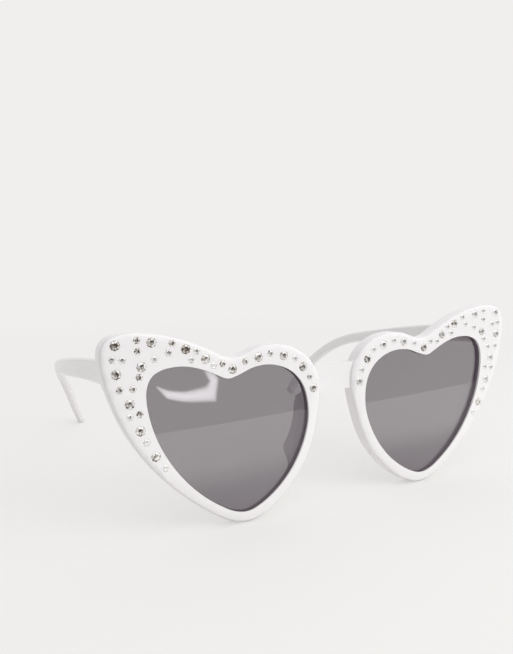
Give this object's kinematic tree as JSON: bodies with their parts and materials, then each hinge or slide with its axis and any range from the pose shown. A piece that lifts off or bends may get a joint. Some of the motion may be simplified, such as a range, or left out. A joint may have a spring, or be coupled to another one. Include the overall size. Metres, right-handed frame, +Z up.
{
  "type": "heart shaped sunglasses",
  "caption": "White cat-eye sunglasses with heart shaped grey lenses, faceted stones set in the brow and wings, moulded nose pads and arms that fold on screw hinges.",
  "frame": {"origin": "middle of the footprint, on the ground that the rims and arm tips stand on with the arms open", "axes": "+X towards the wearer's left, +Y from the front face back towards the ear ends, +Z up"},
  "size_m": [0.1446, 0.1278, 0.0576],
  "materials": {
    "frame": "polished white moulding",
    "lens": "clear grey tint, polished",
    "stone": "faceted clear stone with a bright back",
    "hinge": "nickel plated",
    "screw": "plain"
  },
  "bodies": {
    "front": {"front_frame": "frame", "right_lens": "lens", "left_lens": "lens", "right_large_stones": "stone", "left_large_stones": "stone", "right_small_stones": "stone", "left_small_stones": "stone", "right_front_hinge_leaf": "hinge", "left_front_hinge_leaf": "hinge", "right_hinge_screw": "screw", "left_hinge_screw": "screw"},
    "left_arm": {"left_temple": "frame", "left_temple_hinge_leaf": "hinge"},
    "right_arm": {"right_temple": "frame", "right_temple_hinge_leaf": "hinge"}
  },
  "joints": [
    {"name": "left_arm_fold", "type": "hinge", "parent": "front", "child": "left_arm", "pos_m": [0.06596, -0.05298, 0.04637], "axis": [0, 0.0845, 0.9964], "range_deg": [0, 83]},
    {"name": "right_arm_fold", "type": "hinge", "parent": "front", "child": "right_arm", "pos_m": [-0.06596, -0.05298, 0.04637], "axis": [0, -0.0845, -0.9964], "range_deg": [0, 77]}
  ]
}
